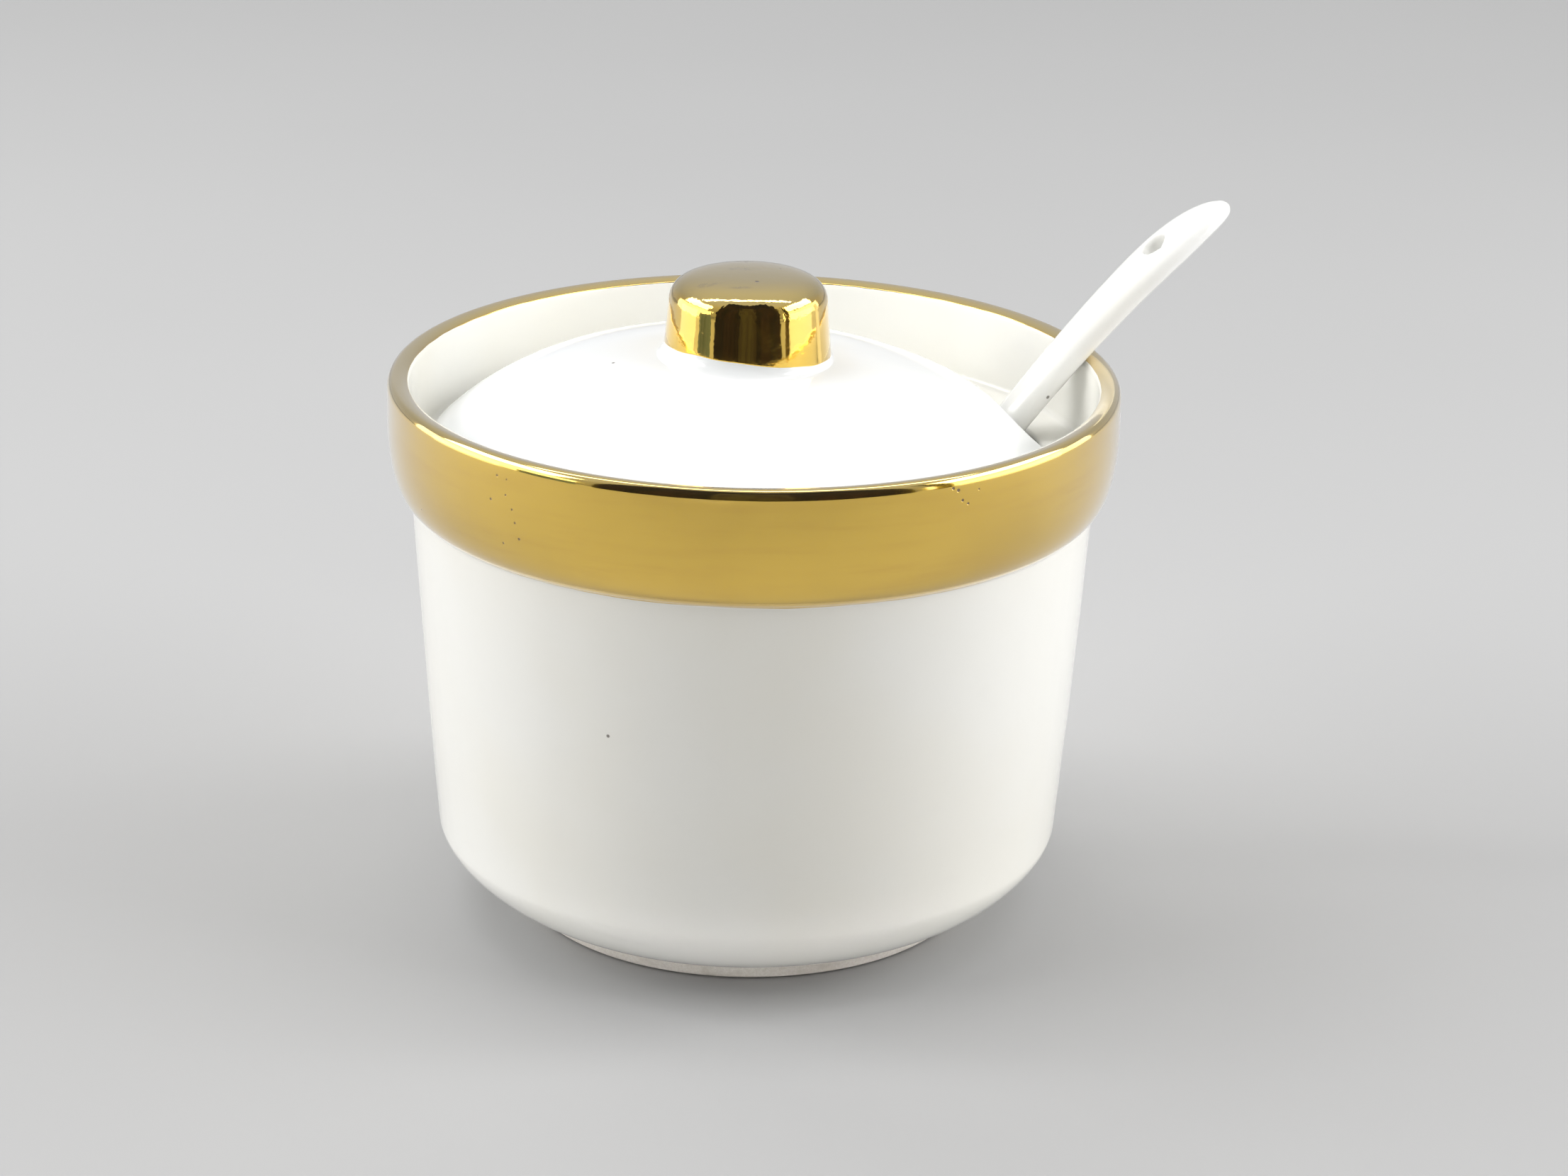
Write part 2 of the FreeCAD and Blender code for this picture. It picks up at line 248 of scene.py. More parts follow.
# -------------------------------- materials
class Nodes:
    """Short calls for building one material's node tree."""

    def __init__(self, name):
        self.material = bpy.data.materials.new(name)
        self.material.use_nodes = True
        self.tree = self.material.node_tree
        self.tree.nodes.clear()
        self.output = self.add("ShaderNodeOutputMaterial")
        self.shader = self.add("ShaderNodeBsdfPrincipled")
        self.tree.links.new(self.shader.outputs[0], self.output.inputs[0])
        coordinates = self.add("ShaderNodeTexCoord")
        scale = self.add("ShaderNodeVectorMath", operation="SCALE")
        self.tree.links.new(coordinates.outputs["Object"], scale.inputs[0])
        scale.inputs["Scale"].default_value = 1.0 / MM
        self.place = scale.outputs[0]          # position in millimetres

    def add(self, kind, **settings):
        """A new node of that kind with its settings."""
        node = self.tree.nodes.new(kind)
        for key, value in settings.items():
            setattr(node, key, value)
        return node

    def feed(self, socket, value):
        """Links the socket to another socket, or sets it to a plain value."""
        if isinstance(value, bpy.types.NodeSocket):
            self.tree.links.new(value, socket)
        else:
            socket.default_value = value

    def math(self, operation, a, b=0.0, clamp=False):
        """The result of one operation on a and b, which are sockets or numbers."""
        node = self.add("ShaderNodeMath", operation=operation, use_clamp=clamp)
        self.feed(node.inputs[0], a)
        self.feed(node.inputs[1], b)
        return node.outputs[0]

    def ramp(self, value, low, high, to_low=0.0, to_high=1.0, smooth=True):
        """value read from low..high to to_low..to_high, held at the ends."""
        node = self.add("ShaderNodeMapRange", interpolation_type="SMOOTHSTEP" if smooth else "LINEAR")
        self.feed(node.inputs["Value"], value)
        limits = {"From Min": low, "From Max": high, "To Min": to_low, "To Max": to_high}
        for socket, number in limits.items():
            self.feed(node.inputs[socket], number)
        return node.outputs[0]

    def mix(self, share, a, b):
        """Colour a where share is 0 and colour b where it is 1."""
        node = self.add("ShaderNodeMix", data_type="RGBA")
        self.feed(node.inputs["Factor"], share)
        self.feed(node.inputs[6], (*a, 1) if isinstance(a, tuple) else a)
        self.feed(node.inputs[7], (*b, 1) if isinstance(b, tuple) else b)
        return node.outputs[2]

    def stretched(self, factors):
        """The position multiplied by a factor along each axis."""
        node = self.add("ShaderNodeVectorMath", operation="MULTIPLY")
        self.feed(node.inputs[0], self.place)
        node.inputs[1].default_value = factors
        return node.outputs[0]

    def noise(self, grain, detail=3.0, roughness=0.5, where=None):
        """Noise from 0 to 1 whose lumps are about grain millimetres across."""
        node = self.add("ShaderNodeTexNoise")
        self.feed(node.inputs["Vector"], where or self.place)
        node.inputs["Scale"].default_value = 1.0 / grain
        node.inputs["Detail"].default_value = detail
        node.inputs["Roughness"].default_value = roughness
        return node.outputs["Fac"]

    def dots(self, spacing, radius, share):
        """Scattered dots, one in some cells of a grid of that spacing."""
        core = 0.45
        cells = self.add("ShaderNodeTexVoronoi")
        self.feed(cells.inputs["Vector"], self.place)
        cells.inputs["Scale"].default_value = 1.0 / spacing
        split = self.add("ShaderNodeSeparateColor")
        self.feed(split.inputs[0], cells.outputs["Color"])
        chosen = self.math("GREATER_THAN", split.outputs[0], 1.0 - share)
        near = self.ramp(cells.outputs["Distance"], radius / spacing, core * radius / spacing)
        return self.math("MULTIPLY", chosen, near)

    def spots(self, places):
        """Single marks: (x, y, z, radius) in millimetres."""
        core = 0.5
        total = 0.0
        for x, y, z, radius in places:
            node = self.add("ShaderNodeVectorMath", operation="DISTANCE")
            self.feed(node.inputs[0], self.place)
            node.inputs[1].default_value = (x, y, z)
            near = self.ramp(node.outputs["Value"], radius, radius * core)
            total = self.math("MAXIMUM", total, near)
        return total

    def smudges(self, places):
        """Soft ragged patches: (x, y, z, half length along x, half depth along y) in millimetres."""
        per_height = 0.3       # a patch reaches far up and down
        total = 0.0
        for x, y, z, half_length, half_depth in places:
            offset = self.add("ShaderNodeVectorMath", operation="SUBTRACT")
            self.feed(offset.inputs[0], self.place)
            offset.inputs[1].default_value = (x, y, z)
            squeezed = self.add("ShaderNodeVectorMath", operation="MULTIPLY")
            self.feed(squeezed.inputs[0], offset.outputs[0])
            squeezed.inputs[1].default_value = (1 / half_length, 1 / half_depth, per_height)
            size = self.add("ShaderNodeVectorMath", operation="LENGTH")
            self.feed(size.inputs[0], squeezed.outputs[0])
            total = self.math("MAXIMUM", total, self.ramp(size.outputs["Value"], 1.0, 0.1))
        ragged = self.ramp(self.noise(0.8, 4.0, 0.7), 0.38, 0.62)
        return self.math("MULTIPLY", total, ragged)

    def bump(self, height, depth, below=None):
        """Relief of that depth in millimetres."""
        node = self.add("ShaderNodeBump")
        self.feed(node.inputs["Height"], height)
        node.inputs["Distance"].default_value = depth * MM
        node.inputs["Strength"].default_value = 1.0
        if below is not None:
            self.feed(node.inputs["Normal"], below)
        return node.outputs[0]

    def set(self, **values):
        """Feeds the shader's own sockets; _ stands for a space in a socket's name."""
        for key, value in values.items():
            socket = self.shader.inputs[key.replace("_", " ")]
            self.feed(socket, (*value, 1) if isinstance(value, tuple) and len(value) == 3 else value)


def on_turning(radius, azimuth, height, centre=0.0):
    """A point on a turned piece, azimuth in degrees from +X."""
    angle = radians(azimuth)
    return centre + radius * cos(angle), radius * sin(angle), height


pinhole_brown = (0.36, 0.31, 0.25)
iron_speck_brown = (0.13, 0.11, 0.09)
pale_clay, sandy_clay = (0.80, 0.76, 0.70), (0.69, 0.64, 0.57)
rubbed_clay = (0.58, 0.53, 0.465)
glaze_end, glaze_full = 1.8, 2.0       # heights where the bare foot ends and the glaze is whole


def glaze(name, tint, specks, bare_foot=False):
    """Glossy feldspar glaze over white porcelain, with faint clouding, waves and pinholes."""
    nodes = Nodes(name)
    warmer = (0.985, 0.975, 0.95)
    warm = tuple(channel * share for channel, share in zip(tint, warmer))
    cloud = nodes.ramp(nodes.noise(34.0, 2.0), 0.35, 0.68)
    colour = nodes.mix(cloud, tint, warm)
    thin = nodes.ramp(nodes.noise(5.5, 3.0, 0.6), 0.5, 0.85, 0.0, 0.35)
    colour = nodes.mix(thin, colour, tuple(channel * 0.97 for channel in tint))
    pinholes = nodes.dots(7.0, 0.16, 0.035)
    colour = nodes.mix(nodes.math("MULTIPLY", pinholes, 0.45), colour, pinhole_brown)
    marks = nodes.spots(specks)
    colour = nodes.mix(nodes.math("MULTIPLY", marks, 0.85), colour, iron_speck_brown)
    gloss = nodes.ramp(nodes.noise(9.0, 3.0), 0.3, 0.75, 0.07, 0.13)
    relief = nodes.bump(nodes.noise(14.0, 1.5), 0.035)
    relief = nodes.bump(nodes.noise(1.3, 2.0), 0.0022, relief)
    relief = nodes.bump(nodes.math("SUBTRACT", 1.0, pinholes), 0.02, relief)
    if bare_foot:
        split = nodes.add("ShaderNodeSeparateXYZ")
        nodes.feed(split.inputs[0], nodes.place)
        ragged = nodes.ramp(nodes.noise(3.0, 3.0), 0.2, 0.8, -0.25, 0.25, smooth=False)
        height = nodes.math("ADD", split.outputs[2], ragged)
        bare = nodes.ramp(height, glaze_full, glaze_end)
        grit = nodes.noise(0.35, 4.0, 0.7)
        clay = nodes.mix(nodes.ramp(grit, 0.3, 0.7), pale_clay, sandy_clay)
        rubbed = nodes.ramp(nodes.noise(6.0, 3.0, 0.65), 0.45, 0.75)
        clay = nodes.mix(rubbed, clay, rubbed_clay)
        colour = nodes.mix(bare, colour, clay)
        gloss = nodes.math("ADD", nodes.math("MULTIPLY", bare, 0.72), gloss, clamp=True)
        relief = nodes.bump(nodes.math("MULTIPLY", grit, bare), 0.05, relief)
    nodes.set(Base_Color=colour, Roughness=gloss, Normal=relief, IOR=1.5)
    return nodes.material


bright_gold, deep_gold = (0.86, 0.555, 0.035), (0.80, 0.51, 0.028)
streak_gold = (0.72, 0.42, 0.02)
# Painted reflection: a paler, duller gold mixed in high up, to tone down the reflections on the lip's
# top and the knob's crown.
reflection_dulling_gold = (0.60, 0.49, 0.19)
worn_gold = (0.33, 0.24, 0.10)
pit_brown = (0.10, 0.055, 0.02)


def gold_lustre(name, specks, orange_peel, streaks, gloss_range, reflection_dulled_from, haze, worn=(), ridge=None):
    """Fired bright gold: brushed on by hand, mirror bright, with pits and rubbed places.

    orange_peel is the depth of its waves, streaks how strong the brush strokes show, gloss_range
    its lowest and highest roughness, and haze its sheen.  Above the height reflection_dulled_from
    its colour is painted paler and duller, to tone down the reflections there.  worn lists
    smudges, and ridge is the low and high end of an uneven overlap of layers.
    """
    fade = 0.9             # height over which the painted duller gold comes in
    ridge_fade = 0.8       # and over which the overlap rises and falls
    nodes = Nodes(name)
    cloud = nodes.ramp(nodes.noise(16.0, 3.0), 0.35, 0.7)
    colour = nodes.mix(cloud, bright_gold, deep_gold)
    brushed = nodes.noise(6.0, 3.0, 0.6, nodes.stretched((0.35, 0.35, 4.0)))
    colour = nodes.mix(nodes.ramp(brushed, 0.45, 0.8, 0.0, streaks), colour, streak_gold)
    split = nodes.add("ShaderNodeSeparateXYZ")
    nodes.feed(split.inputs[0], nodes.place)
    height = split.outputs[2]
    # Painted reflection: above a height the gold turns paler and duller, toning down the reflections on
    # the lip's top and the knob's crown.
    reflection_dulling_share = nodes.ramp(height, reflection_dulled_from, reflection_dulled_from + fade, 0.0, 0.6)
    colour = nodes.mix(reflection_dulling_share, colour, reflection_dulling_gold)
    pits = nodes.dots(3.1, 0.14, 0.05)
    marks = nodes.math("MAXIMUM", pits, nodes.spots(specks))
    colour = nodes.mix(nodes.math("MULTIPLY", marks, 0.9), colour, pit_brown)
    gloss = nodes.ramp(nodes.noise(7.0, 4.0, 0.6), 0.3, 0.75, *gloss_range)
    if worn:
        patches = nodes.smudges(worn)
        colour = nodes.mix(nodes.math("MULTIPLY", patches, 0.6), colour, worn_gold)
        gloss = nodes.math("ADD", gloss, nodes.math("MULTIPLY", patches, 0.25), clamp=True)
    gloss = nodes.math("ADD", gloss, nodes.math("MULTIPLY", marks, 0.4), clamp=True)
    relief = nodes.bump(nodes.noise(7.0, 2.0), orange_peel)
    relief = nodes.bump(nodes.noise(1.7, 2.0), 0.36 * orange_peel, relief)
    relief = nodes.bump(nodes.noise(0.9, 2.0), 0.0015, relief)
    if ridge:
        low, high = ridge
        rising = nodes.ramp(height, low, low + ridge_fade)
        falling = nodes.ramp(height, high, high - ridge_fade)
        uneven = nodes.math("SUBTRACT", nodes.noise(0.9, 2.0), 0.5)
        overlap = nodes.math("MULTIPLY", nodes.math("MULTIPLY", rising, falling), uneven)
        relief = nodes.bump(overlap, 0.026, relief)
    relief = nodes.bump(nodes.math("SUBTRACT", 1.0, marks), 0.02, relief)
    nodes.set(Base_Color=colour, Metallic=1.0, Roughness=gloss, Normal=relief)
    nodes.set(Coat_Weight=1.0, Coat_Roughness=0.05, Coat_IOR=1.9, Coat_Normal=relief)
    nodes.set(Sheen_Weight=haze, Sheen_Roughness=0.40)
    return nodes.material


# -------------------------------- pot
collar_foot = Vector((48.9, 62.3))
lip_height = 79.6


def pot_profile():
    """The pot's section: foot ring, corner, wall, collar, lip, lid ledge, inner wall, floor."""
    underside = 1.7
    floor = 6.0
    ledge_height, mouth_radius = 67.6, 42.0
    wall_foot = Vector((45.6, 12.3))
    corner_radius = 35.4                   # where the rounded corner leaves the foot ring
    corner = bezier(((29.8, underside), (37.7, underside), (45.35, 8.9), wall_foot), 40)
    corner = [point for point in corner if point.x > corner_radius]
    wall = bezier((wall_foot, (47.48, 37.3), collar_foot), 40)
    collar = bezier((collar_foot, (52.2, 63.8), (52.2, 74.4)), 40)
    collar_start = collar[2]
    wall_end = wall[-1].lerp(wall[-2], 0.35)
    return chain(
        [(0, underside), (28.2, underside)],
        rounded((28.2, underside), (29.0, underside), (29.15, 1.1), 5),
        rounded((29.35, 0.5), (29.5, 0.0), (30.1, 0.0), 5),
        [(32.7, 0.0)],
        rounded((32.7, 0.0), (33.4, 0.0), (33.45, 0.6), 5),
        rounded((33.75, 1.9), (33.9, 2.45), corner[0], 7),
        corner,
        wall[:-1],
        bezier((wall_end, collar_foot, collar_start), 6),
        collar[3:],
        [(52.15, 78.25)],
        rounded((52.15, 78.25), (52.1, lip_height), (51.15, lip_height), 9),
        bezier(((51.15, lip_height), (50.15, lip_height), (49.35, 79.12)), 16),
        rounded((49.35, 79.12), (49.08, 78.95), (49.05, 78.4), 6),
        [(48.5, 68.6)],
        rounded((48.5, 68.6), (48.4, ledge_height), (47.5, ledge_height), 6),
        [(42.7, ledge_height)],
        rounded((42.7, ledge_height), (mouth_radius, ledge_height), (mouth_radius, 66.9), 5),
        [(mouth_radius, 63.2)],
        bezier(((mouth_radius, 63.2), (mouth_radius, 61.4), (43.3, 58.6), (43.55, 56.0)), 8),
        [(41.4, 17.0)],
        rounded((41.4, 17.0), (40.8, floor), (29.0, floor), 22),
        [(0, floor)],
    )


def make_pot():
    profile = Profile(pot_profile())
    body_specks = [(*on_turning(47.7, -113.4, 41.4), 0.32), (*on_turning(47.3, -52.0, 30.5), 0.14)]
    body_glaze = glaze("porcelain_glaze_pot", (0.853, 0.846, 0.797), body_specks, bare_foot=True)
    pot = turned("pot_shell", profile.points, body_glaze)
    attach(pot, "pot")
    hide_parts("pot_body")

    # Pits in the gold: radius, azimuth in degrees, height, size before scaling.
    pit_scale = 1.2
    band_pits = [
        (52.1, -130.5, 77.0, 0.30), (52.1, -128.6, 76.8, 0.26), (52.2, -128.8, 74.6, 0.22),
        (52.2, -127.6, 72.8, 0.22), (52.1, -127.1, 71.0, 0.24), (51.9, -126.5, 68.8, 0.26),
        (51.7, -129.8, 67.5, 0.24), (52.2, -131.8, 73.4, 0.26), (51.5, -151.7, 66.6, 0.22),
        (51.5, -150.9, 66.7, 0.20), (51.55, -150.2, 66.8, 0.18), (52.0, -58.6, 77.7, 0.28),
        (52.1, -57.8, 76.2, 0.24), (52.1, -56.8, 75.6, 0.20), (52.1, -54.9, 77.3, 0.16),
        (52.0, -59.5, 78.1, 0.24),
    ]
    band_specks = []
    for radius, azimuth, height, size in band_pits:
        band_specks.append((*on_turning(radius, azimuth, height), pit_scale * size))
    # The band's gold is painted duller above 78.5 mm, toning down the reflections on the lip's top.
    band_gold = gold_lustre(
        "gold_lustre_band", band_specks, orange_peel=0.012, streaks=0.42,
        gloss_range=(0.07, 0.12), reflection_dulled_from=78.5, haze=0.42,
    )
    foot_mark = profile.mark_of(lambda point: point.y > collar_foot.y - 0.01)
    lip_mark = profile.mark_of(lambda point: point.y > lip_height - 0.01)
    gold_past_lip = 2.05

    def lower_edge(angle):
        return foot_mark - 0.12 + 0.16 * wander(angle, 4.0, 3.0) + 0.07 * wander(angle, 15.0, 9.0)

    def inner_edge(angle):
        end = lip_mark + gold_past_lip
        return end + 0.15 * wander(angle, 3.0, 6.0) + 0.08 * wander(angle, 18.0, 1.0)

    band = coat("collar_gold_lustre", profile, lower_edge, inner_edge, band_gold)
    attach(band, "pot")
    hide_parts("rim_gold_band")


# -------------------------------- lid
lid_centre = -1.1                      # the lid lies a little away from the spoon
lid_radius = 45.2
crown_height = 82.59
dome_rise = 13.81
spoon_azimuth = radians(15.0)
hollow_height = 78.6                   # underside of the dome, on the lid's axis
hollow_radius = 37.6
seat_height = 67.65


def dome_height(radius):
    """Height of the dome's upper face before it leans."""
    fullness = 2.83
    return crown_height - dome_rise * (radius / lid_radius) ** fullness


def dome_lean(x, radius):
    """The hand-finished dome is lower on the spoon's side, and its edge is a little higher opposite."""
    tilt = 1.36
    across = (x - lid_centre) / lid_radius
    share = min(1.0, radius / lid_radius)
    edge_lift = 1.05 if across < 0 else 0.35
    return -tilt * across * (1 - share ** 8) - edge_lift * across * share ** 3


def lid_top(place):
    """Height of the lid's upper face over a place seen from above."""
    radius = (Vector(place) - Vector((lid_centre, 0))).length
    height = dome_height(radius) + dome_lean(place[0], radius)
    least, softness = 69.2, 0.4
    return least + softness * log1p(exp((height - least) / softness))


def lid_outline(spacing):
    """The lid seen from above: a circle with a wide notch, all corners rounded."""
    axis = Vector((lid_centre, 0))
    fine = 0.2
    # Along the notch from beyond the lid's edge, round its far and near inner corners, and out.
    notch = [Vector((58.0, 27.0))]
    notch += bezier(((38.4, 16.6), (32.3, 13.6), (32.7, 7.5)), 14)
    notch += bezier(((35.6, -2.0), (36.3, -11.0), (39.6, -14.0)), 14)
    notch += [Vector((55.9, -22.5))]
    turn = Matrix.Rotation(spoon_azimuth, 2)
    notch = chain([turn @ point for point in notch], longest=fine)
    notch = [point for point in notch if (point - axis).length < lid_radius]
    start, end = notch[-1] - axis, notch[0] - axis
    low, high = atan2(start.y, start.x), atan2(end.y, end.x)
    steps = 1200
    arc_angles = [low - (low - high + tau) * index / steps for index in range(1, steps)]
    arc = [axis + lid_radius * Vector((cos(angle), sin(angle))) for angle in arc_angles]
    return even_loop(softened(even_loop(notch + arc, fine), 4), spacing)


def even_loop(points, spacing):
    """The closed line through the points again, in equal steps."""
    profile = Profile(points + [points[0]])
    count = round(profile.length / spacing)
    return [profile.at(profile.length * index / count) for index in range(count)]


def softened(points, reach):
    """The closed line with its corners smoothed over reach points, several times."""
    for _ in range(3):
        count = len(points)
        window = range(-reach, reach + 1)
        points = [
            sum((points[(index + step) % count] for step in window), Vector((0, 0))) / len(window)
            for index in range(count)
        ]
    return points


def inward_normals(outline):
    """Directions square to the closed outline, towards the lid's axis."""
    normals = []
    for index in range(len(outline)):
        along = outline[(index + 1) % len(outline)] - outline[index - 1]
        normals.append(Vector((along.y, -along.x)).normalized())
    to_middle = Vector((lid_centre, 0)) - outline[0]
    if normals[0].dot(to_middle) < 0:
        normals = [-normal for normal in normals]
    return normals


def lid_underside(radius):
    """Height of the lid's underside: seat face outside, hollow inside the flange."""
    hollow_depth = 8.7
    seat_from, seat_blend = 37.2, 2.6
    hollow = hollow_height - hollow_depth * (min(radius, hollow_radius) / hollow_radius) ** 3
    share = min(1.0, max(0.0, (radius - seat_from) / seat_blend))
    share = share * share * (3 - 2 * share)
    return hollow + (seat_height - hollow) * share


def make_lid_shell(material):
    """The lid without knob and flange: hollow, seat face, rounded edge and dome."""
    outline = lid_outline(0.6)
    normals = inward_normals(outline)
    axis = Vector((lid_centre, 0))
    edge_radius = 0.7
    edge_steps, dome_steps, hollow_steps = 7, 64, 48
    inner_tops = [lid_top(point + normal * edge_radius) for point, normal in zip(outline, normals)]

    def lower_edge(share):
        """A ring of the lower edge, from the seat face to the wall."""
        moved = edge_radius * (1 - share) ** 2
        ring = []
        for point, normal in zip(outline, normals):
            place = point + normal * moved
            height = lid_underside((point - axis).length) + edge_radius * share ** 2
            ring.append(Vector((place.x, place.y, height)))
        return ring

    def upper_edge(share):
        """A ring of the upper edge, from the wall to the dome."""
        moved = edge_radius * share ** 2
        below = edge_radius * (1 - share) ** 2
        ring = []
        for point, normal, inner_top in zip(outline, normals, inner_tops):
            place = point + normal * moved
            at_wall = lid_top(point)
            height = at_wall + (inner_top - at_wall) * share ** 2 - below
            ring.append(Vector((place.x, place.y, height)))
        return ring

    def drawn_in(ring, share, height_of):
        """The ring pulled towards the axis over a face with those heights."""
        made = []
        for point in ring:
            place = axis + (point.xy - axis) * share
            made.append(Vector((place.x, place.y, height_of(place))))
        return made

    def underside(place):
        return lid_underside((place - axis).length)

    edge = [lower_edge(step / edge_steps) for step in range(edge_steps + 1)]
    edge += [upper_edge(step / edge_steps) for step in range(edge_steps + 1)]
    dome = [drawn_in(edge[-1], 1 - step / dome_steps, lid_top) for step in range(1, dome_steps)]
    hollow = [drawn_in(edge[0], 1 - step / hollow_steps, underside) for step in range(1, hollow_steps)]
    caps = (Vector((lid_centre, 0, hollow_height)), Vector((lid_centre, 0, crown_height)))
    return new_object("lid_dome_shell", *skin(hollow[::-1] + edge + dome, *caps), material)


def make_lid_flange(material):
    """The locating ring under the lid, left open at the notch, with rounded ends."""
    section = chain(
        rounded((37.6, 64.9), (37.6, 63.8), (38.6, 63.8), 5),
        rounded((39.6, 63.8), (40.6, 63.8), (40.6, 64.9), 5),
        [(40.6, 68.4), (37.4, 71.0), (37.6, 64.9)],
        longest=1.2,
    )[:-1]
    middle = Vector((39.1, 66.6))
    start, end = radians(41.5), radians(354.5)
    steps, end_steps = 260, 4
    end_length = 0.9 / 39.0                # as an angle, at the middle of the flange
    end_shrink = 0.9
    rings = []
    for step in range(-end_steps, steps + end_steps + 1):
        past_end = max(0, -step, step - steps)
        shrink = end_shrink * (1 - sqrt(1 - (past_end / (end_steps + 0.2)) ** 2))
        extra = end_length * sin(past_end / end_steps * pi / 2)
        share = min(1.0, max(0.0, step / steps))
        angle = start + (end - start) * share + (extra if step > 0 else -extra)
        ring = []
        for point in section:
            radius, height = point.lerp(middle, shrink)
            ring.append(Vector((lid_centre + radius * cos(angle), radius * sin(angle), height)))
        rings.append(ring)
    caps = [sum(ring, Vector((0, 0, 0))) / len(ring) for ring in (rings[0], rings[-1])]
    return new_object("lid_flange", *skin(rings, *caps), material)


# -------------------------------- knob
knob_side_foot = 82.75                 # the side is a straight taper between these heights
knob_side_height = 90.3
knob_height = 94.5
gold_edge_middle = 83.44


def knob_profile():
    """The knob's section: a plug sunk in the dome, a flared foot, a tapering side, a flat crown."""
    plug_height = 79.8
    foot = 12.55
    base = dome_height(foot)
    side_end = Vector((11.26, knob_side_height))
    return chain(
        [(0, plug_height), (11.3, plug_height)],
        bezier(((11.3, plug_height), (foot, 80.4), (foot, base - 0.3)), 4),
        bezier(((foot, base - 0.05), (12.15, base - 0.02), (11.98, 82.3), (11.95, knob_side_foot)), 8),
        [side_end],
        bezier((side_end, (11.02, 93.55), (8.2, 94.47), (0, knob_height)), 40),
        longest=0.5,
    )


def gold_edge_height(angle):
    """The dipped gold's lower edge slants: high at the left and front, low at the right."""
    slow = -0.36 * cos(angle) - 0.70 * sin(angle)
    quick = -0.15 * cos(2 * angle) + 0.28 * sin(2 * angle)
    return gold_edge_middle + slow + quick + 0.16 * wander(angle, 2.4, 4.0)


def settle_foot(piece):
    """The knob's foot follows the leaning dome, and the glaze pools in a fillet below the gold."""
    side_radius = 11.0                     # everything further out belongs to the side or the foot
    fillet_below_gold = 0.25
    fillet_reach = 0.65
    lean_from, lean_over = 90.0, 7.2       # the lean comes in gradually from this height down
    base = dome_height(12.0)
    for vertex in piece.data.vertices:
        x, y, height = vertex.co.x / MM - lid_centre, vertex.co.y / MM, vertex.co.z / MM
        radius = sqrt(x * x + y * y)
        if radius < 1.0:
            continue
        top = gold_edge_height(atan2(y, x)) - fillet_below_gold
        if height < top and radius > side_radius:
            depth = min(1.0, (top - height) / (top - base))
            pooled = radius + fillet_reach * (top - base) * depth ** 2.2
            height += (dome_height(pooled) - dome_height(radius) - 0.04) * depth ** 4
            x, y = x * pooled / radius, y * pooled / radius
        share = min(1.0, max(0.0, (lean_from - height) / lean_over))
        height += dome_lean(x + lid_centre, radius) * share * share * (3 - 2 * share)
        vertex.co = Vector((x + lid_centre, y, height)) * MM


def make_knob(material):
    profile = Profile(knob_profile())
    knob = turned("knob_porcelain", profile.points, material, lid_centre, segments=240, uneven=0.5)
    side_mark = profile.mark_of(lambda point: point.y > knob_side_foot - 0.01)
    side_low = profile.at(side_mark).y

    def gold_edge(angle):
        return side_mark + gold_edge_height(angle) - side_low

    pits = [(0.1, -4.7, 94.38, 0.40), (3.4, 2.2, 94.45, 0.25), (-1.5, 5.5, 94.35, 0.3)]
    worn = [(-2.0, 1.2, 94.5, 3.6, 1.4), (-6.9, -5.2, 93.8, 2.8, 1.1), (-2.2, -6.9, 93.9, 2.2, 0.6)]
    # The knob's gold is painted duller above 91.8 mm, toning down the reflections on its crown.
    knob_gold = gold_lustre(
        "gold_lustre_knob", pits, orange_peel=0.045, streaks=0.2, gloss_range=(0.045, 0.09),
        reflection_dulled_from=91.8, haze=0.22, worn=worn, ridge=(89.6, 93.7),
    )
    coated = coat(
        "knob_gold_lustre", profile, gold_edge, None, knob_gold, lid_centre, segments=360, uneven=0.5
    )
    settle_foot(knob)
    settle_foot(coated)
    return knob, coated


def make_lid():
    speck_x, speck_y, _ = on_turning(19.4, -167.0, 0.0, lid_centre)
    lid_specks = [(speck_x, speck_y, lid_top((speck_x, speck_y)), 0.30)]
    # Painted light: the lid's glaze is lighter than the pot's to brighten the lid, and cooler to offset
    # the warm reflection of the gold knob.
    lid_glaze = glaze("porcelain_glaze_lid", (0.86, 0.88, 0.895), lid_specks)
    shell = make_lid_shell(lid_glaze)
    flange = make_lid_flange(lid_glaze)
    knob, coated = make_knob(lid_glaze)
    for piece in (shell, flange, knob, coated):
        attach(piece, "lid")
    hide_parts("lid_dome")
    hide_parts("lid_dome")
    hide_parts("lid_knob")
    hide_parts("knob_gold_coat")


# -------------------------------- spoon
# Drawn in the XZ plane with Y across it, then turned to its azimuth.
shaft_slope = radians(52.0)
shaft_along = Vector((cos(shaft_slope), 0, sin(shaft_slope)))
shaft_normal = Vector((-shaft_along.z, 0, shaft_along.x))
shaft_top = Vector((35.22, 0, 64.70))
shaft_length = 72.4                    # from shaft_top to the tip of the bowl
spoon_lift = shaft_normal * 0.35       # keeps the handle just clear of the lip
bowl_axes = (20.5, 13.5, 9.5)          # half length, half width and depth
bowl_rise = 0.6
bowl_middle = shaft_top - shaft_along * (shaft_length - bowl_axes[0]) + shaft_normal * bowl_rise
bowl_wall = 2.5
handle_poles = (shaft_top, (49.06, 0, 82.40), (64.05, 0, 98.28), (71.42, 0, 100.3))
handle_half_width = 4.78
handle_narrowest = 0.667               # share of the width left at the straight part
handle_half_thickness = 2.35
neck_half_width = 3.9
tip_length = 12.9
shaft_steps = 30
hole_from_tip = 12.2
hole_radius = 1.95


def spoon_place(along, across, up):
    """A point in the bowl's own axes."""
    return bowl_middle + shaft_along * along + Vector((0, across, 0)) + shaft_normal * up


